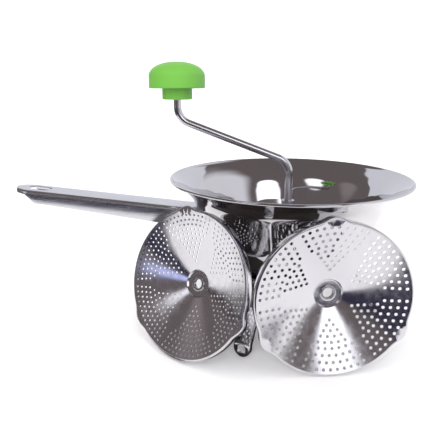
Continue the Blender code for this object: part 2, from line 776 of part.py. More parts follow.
def blade_point(across, up):
    """A point on the blade's underside; across runs outwards and up runs from its foot to its top."""
    reach = BLADE_TIP_REACH + (BLADE_REACH - BLADE_TIP_REACH) * math.sqrt(max(0.0, 1 - up ** 2))
    radius = blend(SLEEVE_RADIUS + WELD_GAP, reach, across)
    angle = BLADE_LOW_ANGLE + BLADE_SWEEP * up
    foot = DISC_FLOOR + cone_height(radius) + DISC_SHEET + BLADE_CLEARANCE
    if radius < CONE_INNER_RADIUS + 0.002:
        foot = BUSH_TOP + BLADE_FOOT_LIFT
    height = foot + (BLADE_TOP - foot) * up ** 0.85
    return Vector((radius * math.cos(angle), radius * math.sin(angle), height))


def make_blade(parent):
    """The half-moon blade that climbs from the disc's surface to its top beside the rod."""
    columns = 10
    rows = 12
    vertices = []
    for side in (0, 1):
        for row in range(rows + 1):
            for column in range(columns + 1):
                point = blade_point(column / columns, row / rows)
                vertices.append(point + Vector((0, 0, BLADE_SHEET * side)))
    width = columns + 1
    layer = width * (rows + 1)
    faces = []
    for row in range(rows):
        for column in range(columns):
            k = row * width + column
            quad = (k, k + 1, k + 1 + width, k + width)
            faces.append(quad)
            faces.append(tuple(layer + q for q in reversed(quad)))
    border = list(range(width))
    border += [row * width + columns for row in range(1, rows + 1)]
    border += [rows * width + k for k in range(columns - 1, -1, -1)]
    border += [row * width for row in range(rows - 1, 0, -1)]
    for k, this in enumerate(border):
        after = border[(k + 1) % len(border)]
        faces.append((this, after, layer + after, layer + this))
    make_object("blade", mesh_from("blade", vertices, faces), STEEL_SATIN, parent)
    low = BUSH_TOP + SLEEVE_LIFT
    bore = ROD_RADIUS + GAP
    sleeve = [(bore, low), (SLEEVE_RADIUS, low), (SLEEVE_RADIUS, BLADE_TOP), (bore, BLADE_TOP)]
    make_object("blade_hub", turned("blade_hub", sleeve, 20), STEEL_SATIN, parent)


# ---------------------------------------------------------------- below the disc
def make_scraper(parent):
    """The arm that wipes the disc's underside and the hub that carries it round with the rod."""
    bore = ROD_RADIUS + GAP
    hub = [
        (bore, SCRAPER_HUB_LOW), (SCRAPER_HUB_RADIUS, SCRAPER_HUB_LOW),
        (SCRAPER_HUB_RADIUS, SCRAPER_HUB_TOP), (bore, SCRAPER_HUB_TOP),
    ]
    make_object("scraper_hub", turned("scraper_hub", hub, 24), STEEL_SATIN, parent)
    steps = 7
    rings = []
    for k in range(steps + 1):
        radius = blend(SCRAPER_START, SCRAPER_REACH, k / steps)
        half = blend(0.0042, 0.0030, k / steps)
        top = DISC_FLOOR + cone_height(max(radius, CONE_INNER_RADIUS + 0.0015)) - SCRAPER_CLEARANCE
        back = top - SCRAPER_TILT
        rings.append([
            Vector((radius, -half, back)), Vector((radius, half, top)),
            Vector((radius, half, top - SCRAPER_SHEET)), Vector((radius, -half, back - SCRAPER_SHEET)),
        ])
    mesh = mesh_from("scraper_arm", *loft(rings, cap_ends=True))
    arm = make_object("scraper_arm", mesh, STEEL_SATIN, parent)
    arm.rotation_euler = (0, 0, SCRAPER_ANGLE)


def make_spring(parent):
    """A compression spring with five turns between the scraper's hub and the washer."""
    steps_per_turn = 12
    sides = 5
    low = SPRING_LOW + SPRING_WIRE
    high = SPRING_TOP - SPRING_WIRE
    rings = []
    total = SPRING_TURNS * steps_per_turn
    for k in range(total + 1):
        a = 2 * math.pi * k / steps_per_turn
        outwards = Vector((math.cos(a), math.sin(a), 0))
        centre = outwards * SPRING_COIL + Vector((0, 0, blend(low, high, k / total)))
        ring = []
        for step in range(sides):
            b = 2 * math.pi * step / sides
            lift = Vector((0, 0, SPRING_WIRE * math.sin(b)))
            ring.append(centre + outwards * (SPRING_WIRE * math.cos(b)) + lift)
        rings.append(ring)
    make_object("spring", mesh_from("spring", *loft(rings, cap_ends=True)), STEEL_SPRING, parent)


def make_washer(parent):
    bore = ROD_RADIUS + GAP
    profile = [
        (bore, WASHER_LOW), (WASHER_RADIUS, WASHER_LOW), (WASHER_RADIUS, WASHER_TOP), (bore, WASHER_TOP),
    ]
    make_object("spring_washer", turned("spring_washer", profile, 24), STEEL_SATIN, parent)


def make_wing_nut(parent):
    """A threaded hub with two upright wings, joined into one body."""
    bore = ROD_RADIUS + GAP
    low = NUT_TOP - NUT_HEIGHT
    hub = [
        (bore, low), (NUT_RADIUS - 0.0008, low), (NUT_RADIUS, low + 0.0030),
        (NUT_RADIUS, NUT_TOP), (bore, NUT_TOP),
    ]
    item = make_object("wing_nut", turned("wing_nut", hub, 24), STEEL_SATIN, parent)
    outline = [
        (0.0060, low + 0.0020), (0.0120, low - 0.0010), (0.0165, low - 0.0050), (0.0185, low - 0.0040),
        (0.0185, low + 0.0020), (0.0140, low + 0.0060), (0.0060, low + 0.0070),
    ]
    wings = []
    for side in (1, -1):
        rings = []
        for y in (-WING_HALF_SHEET, WING_HALF_SHEET):
            rings.append([Vector((side * x, y, z)) for x, z in outline])
        wings.append(make_object("wing", mesh_from("wing", *loft(rings, cap_ends=True)), STEEL_SATIN, parent))
    combine(item, wings, 'UNION')


# ---------------------------------------------------------------- assembly
def build():
    clear_scene()
    mill = make_empty("mill_axis", (AXIS_X, AXIS_Y, 0))
    turning = make_empty("crank_turn_axis", (0, 0, 0), mill)
    lifting = make_empty("crank_lift_axis", (0, 0, 0), turning)
    knob = make_empty("knob_axis", (-CRANK_THROW, 0, RIM_HEIGHT), lifting)
    spares = {name: make_empty("stand_" + name, (0, 0, 0), mill) for name in SPARE_DISCS}
    make_bowl(mill)
    make_handle(mill)
    make_handle_bracket(mill)
    make_legs(mill)
    make_discs(mill, spares)
    make_scraper(turning)
    make_spring(turning)
    make_crank_rod(lifting)
    make_blade(lifting)
    make_washer(lifting)
    make_wing_nut(lifting)
    make_knob(knob)


build()
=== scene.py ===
"""Looks of the rotary food mill: fine steel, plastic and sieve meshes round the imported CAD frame."""
import math

import bmesh
import bpy
from mathutils import Matrix, Vector
from mathutils.geometry import delaunay_2d_cdt
from mathutils.kdtree import KDTree


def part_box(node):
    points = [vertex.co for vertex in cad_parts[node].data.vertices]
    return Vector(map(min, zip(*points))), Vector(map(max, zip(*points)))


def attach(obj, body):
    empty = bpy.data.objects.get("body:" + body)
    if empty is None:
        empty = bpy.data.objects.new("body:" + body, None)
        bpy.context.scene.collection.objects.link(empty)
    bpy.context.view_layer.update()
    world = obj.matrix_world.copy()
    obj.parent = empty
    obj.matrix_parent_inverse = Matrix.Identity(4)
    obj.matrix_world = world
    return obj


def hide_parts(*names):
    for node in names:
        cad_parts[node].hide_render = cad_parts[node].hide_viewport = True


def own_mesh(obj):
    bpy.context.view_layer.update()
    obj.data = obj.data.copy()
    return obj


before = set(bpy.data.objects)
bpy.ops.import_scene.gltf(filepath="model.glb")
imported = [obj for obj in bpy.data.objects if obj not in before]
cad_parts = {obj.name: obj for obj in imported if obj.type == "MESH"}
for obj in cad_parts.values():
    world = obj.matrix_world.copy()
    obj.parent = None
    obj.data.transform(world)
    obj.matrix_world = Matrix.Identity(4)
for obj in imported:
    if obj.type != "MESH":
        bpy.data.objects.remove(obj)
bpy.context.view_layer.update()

# ---------------------------------------------------------------- places taken from the frame, in metres
BOWL_LOW, BOWL_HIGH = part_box("bowl")
HUB_LOW, HUB_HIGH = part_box("scraper_hub")
AXIS = Vector(((HUB_LOW[0] + HUB_HIGH[0]) / 2, (HUB_LOW[1] + HUB_HIGH[1]) / 2, 0))
RIM_RADIUS = (BOWL_HIGH[0] - BOWL_LOW[0]) / 2
BOWL_DEPTH = 0.094
COLLAR_FLOOR = BOWL_LOW[2]
RIM_HEIGHT = COLLAR_FLOOR + BOWL_DEPTH

# ---------------------------------------------------------------- sizes, in metres
SHEET = 0.0009
GAP = 0.0003
BEAD_RADIUS = 0.0013
BOWL_PROFILE = (
    (0.0026, 0.1172), (0.006, 0.1125), (0.012, 0.1050), (0.019, 0.0985), (0.030, 0.0936),
    (0.045, 0.0888), (0.060, 0.0842), (0.072, 0.0785), (0.080, 0.0728), (0.084, 0.0708),
)
COLLAR_RADIUS = 0.0703
COLLAR_TOP_DEPTH = 0.087
LEDGE_INNER_RADIUS = 0.0635
RING_STEPS = 288
LOBE_START_DEPTH = 0.070
LOBE_FADE = 0.014

# Edges that turn by less than this look smooth.
SMOOTH_DEGREES = 38.0
SIEVE_SMOOTH_DEGREES = 30.0

# A hair smaller than in the CAD, whose coarser rings cut the corners of the lobes.
DISC_RADIUS = 0.0681
DISC_LOBE = 0.0035
LOBE_HALF_ANGLE = math.radians(12.5)
DISC_WALL = 0.007
DISC_SHEET = 0.0008
FOLD_RADIUS = 0.0020
CONE_INNER_RADIUS = 0.0132
CONE_HEIGHT = 0.0180
HUB_STEP = 0.0016
HUB_HOLE_RADIUS = 0.0053
BUSH_BORE_RADIUS = 0.00435
BUSH_HEAD_RADIUS = 0.0066
BUSH_FLANGE_RADIUS = 0.0072
BUSH_HEAD = 0.0007
DISC_FLOOR = COLLAR_FLOOR + SHEET + GAP
HUB_UNDERSIDE = DISC_FLOOR + CONE_HEIGHT + HUB_STEP

ROD_RADIUS = 0.00375
CRANK_THROW = 0.111
ARM_LOW = 0.014
ARM_HIGH = 0.0564
BEND_RADIUS = 0.017
KNOB_BOTTOM = 0.075
KNOB_SHOULDER = 0.0853
KNOB_SIDE = 0.0113
KNOB_TOP = 0.110
KNOB_RADIUS = 0.027
NECK_RADIUS = 0.0145
SPIGOT_RADIUS = 0.0085
SPIGOT_LENGTH = 0.010
SOCKET_ABOVE_SPIGOT = 0.0055
THREAD_PITCH = 0.00125
THREAD_START = 0.0004
THREAD_STEPS = 4
SPRING_WIRE = 0.00075
SPRING_TURNS = 5

HANDLE_REACH = 0.275
HANDLE_WIDTH = 0.032
HANDLE_ROOT_DROP = 0.030
HANDLE_TIP_DROP = 0.010
HANDLE_ROOT_RADIUS = 0.098
HANDLE_SHEET = 0.0011
HANDLE_SHOULDER = 0.004
HANDLE_TIP_DEPTH = 0.0028
HANDLE_NEAR_TIP_DEPTH = 0.0125
HANDLE_ROOT_DEPTH = 0.0190
HANDLE_TAPER_START = 0.03
HANDLE_TAPER = 0.13
TIP_TAPER_START = 0.011
TIP_TAPER = 0.009
CAVITY_START = 0.030
CAVITY_OVERCUT = 0.010
SLOT_START = 0.012
SLOT_LENGTH = 0.022
SLOT_WIDTH = 0.013
SLOT_CUT = (-0.030, 0.010)

LEG_ANGLES = {"leg_right": 0.0, "leg_back": 120.0, "leg_front": 240.0}
LEG_WIDTH = 0.017
LEG_FOOT_RADIUS = 0.101
LEG_FLANGE = 0.0055
LEG_TAB_FLANGE = 0.0026
LEG_SHEET = 0.0010
LEG_SHOULDER = 0.0018
LEG_BEND = 0.010
LEG_BEND_HEIGHT = 0.0125
LEG_TAPER = 0.012
LEG_OVERCUT = 0.002
LEG_TOP_OVERCUT = 0.004
TOE_ANGLE = math.radians(70)
TOE_HOLE_RADIUS = 0.0042
TOE_HOLE_HEIGHT = 0.0078
TOE_HOLE_FLAT = 0.0038
TOE_HOLE_CORNER = 0.0010
TOE_CUT = (-0.012, 0.006)

BLADE_LOW_ANGLE = math.radians(280)
BLADE_SWEEP = math.radians(-98)
BLADE_REACH = 0.0640
BLADE_TIP_REACH = 0.0190
BLADE_TOP = RIM_HEIGHT - 0.025
BLADE_SHEET = 0.0012
BLADE_CLEARANCE = 0.0009
BLADE_FOOT_LIFT = 0.0016
BLADE_FOOT_FADE = 0.004
BLADE_BULGE = 0.85
SLEEVE_RADIUS = 0.0066
WELD_GAP = 0.0006

# Loose mesh points stay this many hole radii away from a hole's centre, and a face this far along the
# cone's normal belongs to the sheet and not to a hole's wall.
CLEAR_OF_HOLE = 1.5
SHEET_FACING = 0.985

# Rings of holes in each disc: (radius, holes in each of six sectors), then pitch and hole radius.
COARSE_HOLES = (
    ((0.024, 1), (0.031, 2), (0.038, 3), (0.0452, 5), (0.0524, 6), (0.0596, 7)), 0.0080, 0.00225,
)
MEDIUM_HOLES = (
    ((0.0231, 1), (0.0272, 2), (0.0317, 3), (0.0363, 4), (0.0412, 5), (0.0460, 7), (0.0515, 8),
     (0.0571, 9), (0.0628, 10)), 0.0061, 0.00145,
)
FINE_HOLES = (
    ((0.0210, 1), (0.0252, 2), (0.0294, 3), (0.0336, 4), (0.0378, 5), (0.0420, 6), (0.0462, 8),
     (0.0504, 10), (0.0546, 11), (0.0588, 12), (0.0630, 13)), 0.0049, 0.00100,
)

# Spare discs: centre of the fold circle in the mill's frame, then turn, lean and roll in degrees.
MEDIUM_STAND = (0.0250, -0.1150, 5.5, 3.5, 2.0)
FINE_STAND = (-0.1018, -0.0768, -39.9, 17.0, 13.6)


# ---------------------------------------------------------------- camera, light and stage
def make_camera():
    """The photograph's viewing angle: a little left of the bowl, above its rim, tipped down."""
    data = bpy.data.cameras.new("camera")
    data.sensor_width = 36.0
    data.lens = 39.31
    item = bpy.data.objects.new("camera", data)
    item.location = AXIS + Vector((-0.0722, -0.4735, RIM_HEIGHT + 0.0898))
    item.rotation_euler = (math.radians(90 - 15.75), 0, 0)
    bpy.context.scene.collection.objects.link(item)
    bpy.context.scene.camera = item


def make_world(room, patches):
    """A studio room with soft round patches of brighter or darker room in it, for the steel to mirror."""
    world = bpy.data.worlds.new("studio")
    world.use_nodes = True
    bpy.context.scene.world = world
    tree = world.node_tree
    place = tree.nodes.new("ShaderNodeTexCoord")
    plain = tree.nodes.new("ShaderNodeRGB")
    plain.outputs[0].default_value = (*room, 1)
    colour = plain.outputs[0]
    for direction, inner, outer, shade in patches:
        dot = tree.nodes.new("ShaderNodeVectorMath")
        dot.operation = 'DOT_PRODUCT'
        tree.links.new(place.outputs["Generated"], dot.inputs[0])
        dot.inputs[1].default_value = Vector(direction).normalized()
        fade = tree.nodes.new("ShaderNodeMapRange")
        fade.interpolation_type = 'SMOOTHSTEP'
        fade.inputs["From Min"].default_value = math.cos(math.radians(outer))
        fade.inputs["From Max"].default_value = math.cos(math.radians(inner))
        tree.links.new(dot.outputs["Value"], fade.inputs["Value"])
        mix = tree.nodes.new("ShaderNodeMix")
        mix.data_type = 'RGBA'
        tree.links.new(fade.outputs["Result"], mix.inputs["Factor"])
        tree.links.new(colour, mix.inputs["A"])
        mix.inputs["B"].default_value = (*shade, 1)
        colour = mix.outputs["Result"]
    tree.links.new(colour, tree.nodes["Background"].inputs["Color"])


ROOM = (0.17, 0.145, 0.145)
# Patches of the room: direction, inner and outer angle in degrees, colour. A later one covers an earlier one.
STUDIO = (
    ((0.0, 1.0, 0.10), 48, 50, (0.86, 0.87, 0.94)),
    ((1.0, 0.10, 0.20), 36, 52, (0.90, 0.90, 0.95)),
    ((0.34, -0.87, 0.36), 14, 17, (1.9, 1.9, 2.0)),
    ((-0.68, -0.73, 0.09), 2, 6, (0.9, 1.0, 1.6)),
    ((-0.60, -0.55, 0.58), 9, 13, (1.7, 1.7, 1.8)),
    ((-0.95, 0.10, 0.45), 5, 16, (0.30, 0.26, 0.26)),
)


def make_sun(name, direction, strength, spread):
    """A soft sun that lights the table and the plastic but isn't mirrored in the steel."""
    data = bpy.data.lights.new(name, 'SUN')
    data.energy = strength
    data.angle = math.radians(spread)
    item = bpy.data.objects.new(name, data)
    item.rotation_euler = Vector(direction).to_track_quat('-Z', 'Y').to_euler()
    item.visible_glossy = False
    bpy.context.scene.collection.objects.link(item)


def stage_piece(name, vertices, faces, look, unseen_by=()):
    """Link a stage mesh; unseen_by names the kinds of ray that pass it by."""
    mesh = bpy.data.meshes.new(name)
    mesh.from_pydata(vertices, [], faces)
    mesh.shade_smooth()
    mesh.materials.append(look)
    item = bpy.data.objects.new(name, mesh)
    for kind in unseen_by:
        setattr(item, "visible_" + kind, False)
    bpy.context.scene.collection.objects.link(item)


def make_floor():
    """A white table, and behind it a sweep that the steel doesn't mirror: it mirrors the studio instead."""
    half = 3.0
    near = -2.5
    far = 1.4
    bend = 0.8
    top = 3.0
    drop = -0.0005
    steps = 16
    rise = [(far, drop)]
    for k in range(1, steps + 1):
        a = math.pi / 2 * k / steps
        rise.append((far + bend * math.sin(a), bend - bend * math.cos(a) + drop))
    rise.append((far + bend, top))
    for name, path, unseen_by in (("floor", [(near, drop), (far, drop)], ()), ("sweep", rise, ("glossy",))):
        vertices = [(x, y, z) for x in (-half, half) for y, z in path]
        size = len(path)
        faces = [(k, size + k, size + k + 1, k + 1) for k in range(size - 1)]
        stage_piece(name, vertices, faces, paper(name + "_paper"), unseen_by)


def make_surround():
    """A round white screen that only the camera sees, so that every side view has the same pale ground."""
    steps = 96
    radius = 2.4
    top = 4.5
    angles = [2 * math.pi * k / steps for k in range(steps)]
    vertices = [(radius * math.cos(a), radius * math.sin(a), z) for z in (0.0, top) for a in angles]
    faces = [(k, (k + 1) % steps, steps + (k + 1) % steps, steps + k) for k in range(steps)]
    look, tree, shader = new_material("white_screen")
    tinted(tree, shader, noise(tree, 3.0, 1.0), (0.93, 0.93, 0.93), (0.94, 0.94, 0.94))
    shader.inputs["Emission Color"].default_value = (1, 1, 1, 1)
    shader.inputs["Emission Strength"].default_value = 1.0
    shader.inputs["Roughness"].default_value = 1.0
    stage_piece("surround", vertices, faces, look, ("diffuse", "glossy", "shadow", "transmission"))


def make_card(name, low, high, shade):
    """A dark card on the table that only the steel mirrors. Beyond the table's edge it stands for the dark
    room; under the bowl it is painted shade where the table lay in shadow.
    """
    corners = ((low[0], low[1]), (high[0], low[1]), (high[0], high[1]), (low[0], high[1]))
    vertices = [(x, y, 0.0) for x, y in corners]
    look, tree, shader = new_material(name)
    tinted(tree, shader, noise(tree, 6.0), shade, [value * 1.3 for value in shade])
    shader.inputs["Roughness"].default_value = 1.0
    shader.inputs["Specular IOR Level"].default_value = 0.0
    stage_piece(name, vertices, [(0, 1, 2, 3)], look, ("camera", "diffuse", "shadow", "transmission"))


# ---------------------------------------------------------------- materials
def new_material(name):
    made = bpy.data.materials.new(name)
    made.use_nodes = True
    return made, made.node_tree, made.node_tree.nodes["Principled BSDF"]


def noise(tree, scale, detail=3.0, stretch=(1, 1, 1)):
    """Object-space noise, stretched along an axis by a smaller number on it."""
    place = tree.nodes.new("ShaderNodeTexCoord")
    mapping = tree.nodes.new("ShaderNodeMapping")
    mapping.inputs["Scale"].default_value = stretch
    texture = tree.nodes.new("ShaderNodeTexNoise")
    texture.inputs["Scale"].default_value = scale
    texture.inputs["Detail"].default_value = detail
    tree.links.new(place.outputs["Object"], mapping.inputs["Vector"])
    tree.links.new(mapping.outputs["Vector"], texture.inputs["Vector"])
    return texture.outputs["Fac"]


def ranged(tree, value, low, high):
    """Map a noise value to a range."""
    node = tree.nodes.new("ShaderNodeMapRange")
    node.inputs["From Min"].default_value = 0.3
    node.inputs["From Max"].default_value = 0.7
    node.inputs["To Min"].default_value = low
    node.inputs["To Max"].default_value = high
    tree.links.new(value, node.inputs["Value"])
    return node.outputs["Result"]


def bump(tree, shader, value, distance):
    """Unevenness of the surface, by a noise value."""
    node = tree.nodes.new("ShaderNodeBump")
    node.inputs["Distance"].default_value = distance
    tree.links.new(value, node.inputs["Height"])
    tree.links.new(node.outputs["Normal"], shader.inputs["Normal"])


def tinted(tree, shader, value, dark, light):
    """Mix two colours by a noise value into the base colour."""
    mix = tree.nodes.new("ShaderNodeMix")
    mix.data_type = 'RGBA'
    mix.inputs["A"].default_value = (*dark, 1)
    mix.inputs["B"].default_value = (*light, 1)
    tree.links.new(value, mix.inputs["Factor"])
    tree.links.new(mix.outputs["Result"], shader.inputs["Base Color"])


def steel(name, dark, light, rough, wave, grain=(1, 1, 1), grain_scale=60.0):
    """Stainless steel: a slow unevenness of the pressed sheet, and a finer grain in its gloss."""
    made, tree, shader = new_material(name)
    shader.inputs["Metallic"].default_value = 1.0
    fine = noise(tree, grain_scale, 4.0, grain)
    slow = noise(tree, 14.0, 2.0)
    tinted(tree, shader, ranged(tree, slow, 0.0, 1.0), dark, light)
    tree.links.new(ranged(tree, fine, *rough), shader.inputs["Roughness"])
    bump(tree, shader, slow, wave)
    return made


def plastic():
    """Lime green moulded plastic with a soft gloss and a faint moulding texture."""
    made, tree, shader = new_material("lime_plastic")
    slow = noise(tree, 22.0, 2.0)
    tinted(tree, shader, ranged(tree, slow, 0.0, 1.0), (0.135, 0.390, 0.050), (0.150, 0.420, 0.060))
    tree.links.new(ranged(tree, noise(tree, 400.0), 0.36, 0.46), shader.inputs["Roughness"])
    shader.inputs["Specular IOR Level"].default_value = 0.4
    shader.inputs["Subsurface Weight"].default_value = 0.12
    shader.inputs["Subsurface Radius"].default_value = (0.2, 0.9, 0.1)
    shader.inputs["Subsurface Scale"].default_value = 0.003
    bump(tree, shader, noise(tree, 900.0, 2.0), 0.00002)
    return made


def paper(name):
    """Matt white paper."""
    made, tree, shader = new_material(name)
    tinted(tree, shader, noise(tree, 3.0, 1.0), (0.93, 0.93, 0.93), (0.94, 0.94, 0.94))
    shader.inputs["Roughness"].default_value = 0.9
    shader.inputs["Specular IOR Level"].default_value = 0.1
    return made


# ---------------------------------------------------------------- mesh helpers
def mesh_from(name, vertices, faces, smooth_angle=SMOOTH_DEGREES):
    """Build a mesh, turn its faces outwards and shade it smooth below an edge angle."""
    mesh = bpy.data.meshes.new(name)
    mesh.from_pydata([tuple(v) for v in vertices], [], faces)
    work = bmesh.new()
    work.from_mesh(mesh)
    bmesh.ops.recalc_face_normals(work, faces=work.faces)
    work.to_mesh(mesh)
    work.free()
    mesh.shade_smooth()
    mesh.set_sharp_from_angle(angle=math.radians(smooth_angle))
    return mesh


def place_piece(name, mesh, look, body, nodes, matrix=None):
    """Link a piece in the row frame, give it its material, and let it stand for its CAD nodes."""
    mesh.transform(Matrix.Translation(AXIS) @ (matrix or Matrix.Identity(4)))
    mesh.materials.clear()
    mesh.materials.append(look)
    item = bpy.data.objects.new(name, mesh)
    bpy.context.scene.collection.objects.link(item)
    bpy.context.view_layer.update()
    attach(item, body)
    if nodes:
        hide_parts(*nodes)
    return item


def loft(rings, close_path=False, cap_ends=False):
    """Join rings of equal length with quads; the rings close into a loop or get end caps."""
    size = len(rings[0])
    vertices = [point for ring in rings for point in ring]
    faces = []
    spans = len(rings) if close_path else len(rings) - 1
    for row in range(spans):
        low = row * size
        high = (row + 1) % len(rings) * size
        for col in range(size):
            after = (col + 1) % size
            faces.append((low + col, low + after, high + after, high + col))
    if cap_ends:
        faces.append(tuple(range(size)))
        faces.append(tuple(range((len(rings) - 1) * size, len(rings) * size)))
    return vertices, faces


def turned(name, profile, steps, closed=True):
    """A (radius, height) outline turned about Z, closed on itself or capped at both ends."""
    angles = [2 * math.pi * k / steps for k in range(steps)]
    rings = [[(r * math.cos(a), r * math.sin(a), z) for a in angles] for r, z in profile]
    return mesh_from(name, *loft(rings, close_path=closed, cap_ends=not closed))


def arc(centre, radius, start, end, steps):
    """Points on an arc, with angles in degrees."""
    points = []
    for k in range(steps + 1):
        a = math.radians(start + (end - start) * k / steps)
        points.append((centre[0] + radius * math.cos(a), centre[1] + radius * math.sin(a)))
    return points


def blend(a, b, t):
    return a + (b - a) * min(1.0, max(0.0, t))


def interpolate(table, x):
    """Smooth curve through (x, y) pairs, with the mean slope of the neighbours at each point."""
    if x <= table[0][0]:
        return table[0][1]
    if x >= table[-1][0]:
        return table[-1][1]
    last = len(table) - 1
    slopes = []
    for k in range(len(table)):
        before = table[max(k - 1, 0)]
        after = table[min(k + 1, last)]
        slopes.append((after[1] - before[1]) / (after[0] - before[0]))
    k = max(i for i in range(last) if table[i][0] <= x)
    x0, y0 = table[k]
    x1, y1 = table[k + 1]
    span = x1 - x0
    t = (x - x0) / span
    rise = (2 * t ** 3 - 3 * t ** 2 + 1) * y0 + (3 * t ** 2 - 2 * t ** 3) * y1
    bend = (t ** 3 - 2 * t ** 2 + t) * slopes[k] + (t ** 3 - t ** 2) * slopes[k + 1]
    return rise + bend * span


def filleted(points, radii, steps):
    """A path through points in a plane, with its inner corners rounded to the given radii."""
    path = [Vector(points[0])]
    for k in range(1, len(points) - 1):
        corner = Vector(points[k])
        back = (Vector(points[k - 1]) - corner).normalized()
        ahead = (Vector(points[k + 1]) - corner).normalized()
        half = back.angle(ahead) / 2
        reach = radii[k - 1] / math.tan(half)
        centre = corner + (back + ahead).normalized() * (radii[k - 1] / math.sin(half))
        first = corner + back * reach - centre
        turn = first.angle(corner + ahead * reach - centre)
        axis = back.cross(ahead).normalized()
        for step in range(steps + 1):
            swing = Matrix.Rotation(-turn * step / steps, 3, axis)
            path.append(centre + swing @ first)
    path.append(Vector(points[-1]))
    return path


def cut_mesh(name, solid, cutters, edge):
    """The solid with the cutters taken out, and its sharp edges eased by a small bevel."""
    scene = bpy.context.scene.collection
    item = bpy.data.objects.new(name, solid)
    scene.objects.link(item)
    tools = []
    for mesh in cutters:
        tool = bpy.data.objects.new("tool", mesh)
        scene.objects.link(tool)
        tools.append(tool)
        cut = item.modifiers.new("cut", 'BOOLEAN')
        cut.object = tool
        cut.operation = 'DIFFERENCE'
        cut.solver = 'EXACT'
    ease = item.modifiers.new("ease", 'BEVEL')
    ease.width = edge
    ease.segments = 2
    ease.limit_method = 'ANGLE'
    ease.angle_limit = math.radians(40)
    bpy.context.view_layer.update()
    graph = bpy.context.evaluated_depsgraph_get()
    mesh = bpy.data.meshes.new_from_object(item.evaluated_get(graph))
    for old in [item] + tools:
        bpy.data.objects.remove(old, do_unlink=True)
    mesh.shade_smooth()
    mesh.set_sharp_from_angle(angle=math.radians(SMOOTH_DEGREES))
    return mesh


# ---------------------------------------------------------------- bowl
def lobe_height(angle, phase):
    """How far the lobe stands out at an angle, from 0 to 1."""
    third = 2 * math.pi / 3
    offset = (angle - phase + third / 2) % third - third / 2
    if abs(offset) >= LOBE_HALF_ANGLE:
        return 0.0
    return math.cos(offset / LOBE_HALF_ANGLE * math.pi / 2) ** 2


def lobed_rings(profile, phase):
    """Rings for (radius, height, share of the lobe) triples."""
    rings = []
    for radius, height, share in profile:
        ring = []
        for k in range(RING_STEPS):
            a = 2 * math.pi * k / RING_STEPS
            r = radius + share * DISC_LOBE * lobe_height(a, phase)
            ring.append((r * math.cos(a), r * math.sin(a), height))
        rings.append(ring)
    return rings


def bowl_radius(depth):
    if depth >= COLLAR_TOP_DEPTH:
        return COLLAR_RADIUS
    return interpolate(BOWL_PROFILE + ((COLLAR_TOP_DEPTH, COLLAR_RADIUS),), depth)


def bowl_mesh():
    """The bowl's sheet with its rolled rim, the lobed collar and the ledge under the disc."""
    steps = 70
    first = BOWL_PROFILE[0][0]
    depths = [first + (COLLAR_TOP_DEPTH + 0.002 - first) * k / steps for k in range(steps + 1)]
    outer = []
    inner = []
    for depth in depths:
        share = blend(0.0, 1.0, (depth - LOBE_START_DEPTH) / LOBE_FADE)
        share = share * share * (3 - 2 * share)
        near = 0.0005
        slope = (bowl_radius(depth + near) - bowl_radius(depth - near)) / (2 * near)
        normal = Vector((1, slope)).normalized() * SHEET
        outer.append((bowl_radius(depth), RIM_HEIGHT - depth, share))
        inner.append((bowl_radius(depth) - normal.x, RIM_HEIGHT - depth - normal.y, share))
    bead = arc((RIM_RADIUS - BEAD_RADIUS, RIM_HEIGHT - BEAD_RADIUS), BEAD_RADIUS, 150, -75, 16)
    profile = [(r, z, 0.0) for r, z in bead]
    profile += outer
    corner = arc((COLLAR_RADIUS - 0.0012, COLLAR_FLOOR + 0.0012), 0.0012, 0, -90, 5)
    profile += [(r, z, 1.0) for r, z in corner]
    profile += [
        (COLLAR_RADIUS - 0.0030, COLLAR_FLOOR, 1.0),
        (LEDGE_INNER_RADIUS + 0.0002, COLLAR_FLOOR, 0.0),
        (LEDGE_INNER_RADIUS, COLLAR_FLOOR + 0.0002, 0.0),
        (LEDGE_INNER_RADIUS, COLLAR_FLOOR + SHEET - 0.0002, 0.0),
        (LEDGE_INNER_RADIUS + 0.0002, COLLAR_FLOOR + SHEET, 0.0),
        (COLLAR_RADIUS - SHEET - 0.0006, COLLAR_FLOOR + SHEET, 1.0),
        (COLLAR_RADIUS - SHEET, COLLAR_FLOOR + SHEET + 0.0006, 1.0),
    ]
    profile += inner[::-1]
    return mesh_from("bowl", *loft(lobed_rings(profile, math.pi), close_path=True))


# ---------------------------------------------------------------- handle and legs
def channel_section(origin, across, inwards, half_width, top, depth, shoulder):
    """A solid bar's section: rounded shoulders on the outside face and square edges inwards."""
    corner = min(shoulder, 0.8 * half_width)
    flat = [(-half_width, depth)]
    flat += [(x, y + corner) for x, y in arc((corner - half_width, top), corner, 180, 270, 8)]
    flat += [(x, y + corner) for x, y in arc((half_width - corner, top), corner, 270, 360, 8)]
    flat += [(half_width, depth)]
    return [origin + across * x + inwards * y for x, y in flat]


def fit_to_bowl(point):
    """Move a point of the handle's root along X until it almost meets the bowl."""
    radius = bowl_radius(RIM_HEIGHT - point.z) + 2 * GAP
    return Vector((-math.sqrt(radius ** 2 - point.y ** 2), point.y, point.z))


